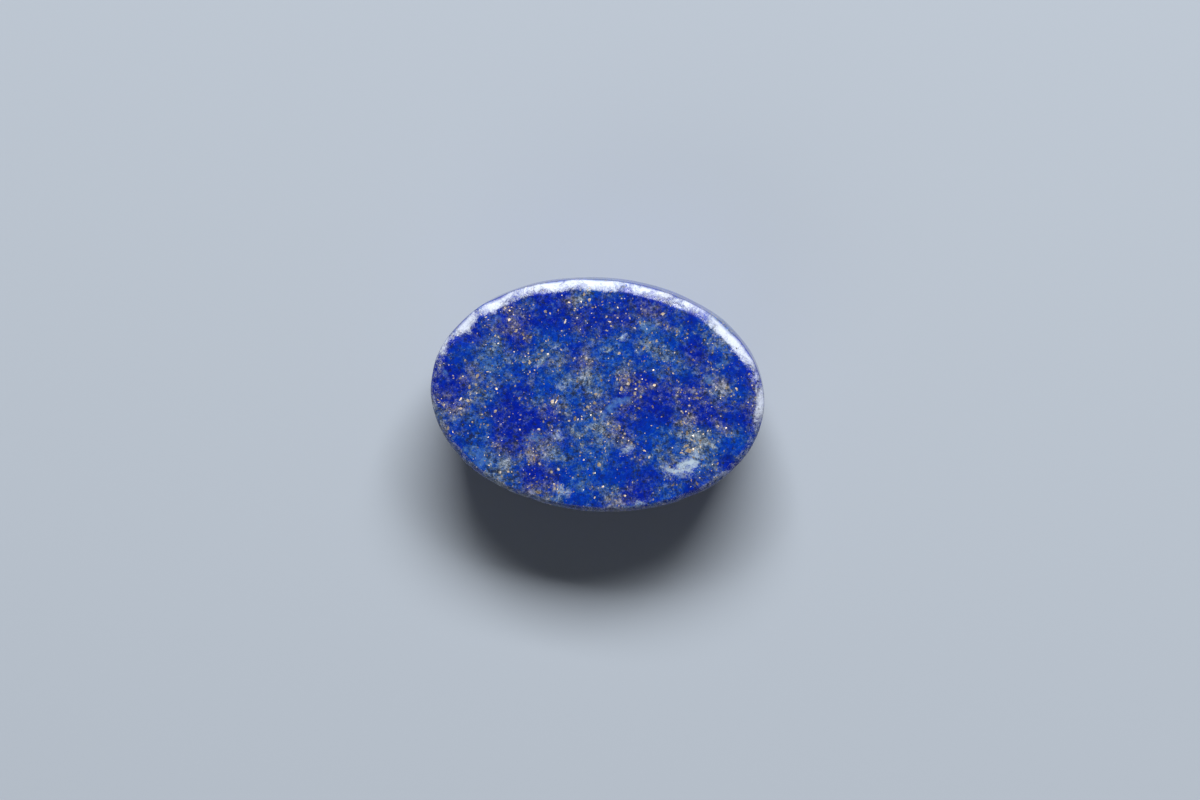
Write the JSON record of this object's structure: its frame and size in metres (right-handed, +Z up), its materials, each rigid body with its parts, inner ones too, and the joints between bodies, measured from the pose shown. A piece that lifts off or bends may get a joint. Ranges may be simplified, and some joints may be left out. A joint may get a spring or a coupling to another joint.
{
  "type": "lapis lazuli cabochon",
  "caption": "Oval cut gem of blue lapis lazuli with white calcite and gold pyrite: flat back, rounded edge and high polished dome, lying on its dome.",
  "frame": {"origin": "under the middle of the stone, on the surface that the top of its dome lies on", "axes": "+X along the length, +Y towards the long side with the wider rounded edge, +Z up, out of the flat back"},
  "size_m": [0.018, 0.0126, 0.0063],
  "materials": {
    "lapis": "polished stone, deep blue with grey-white clouds and gold specks, satin on the flat back"
  },
  "bodies": {
    "root": {"lapis_cabochon": "lapis"}
  },
  "joints": []
}
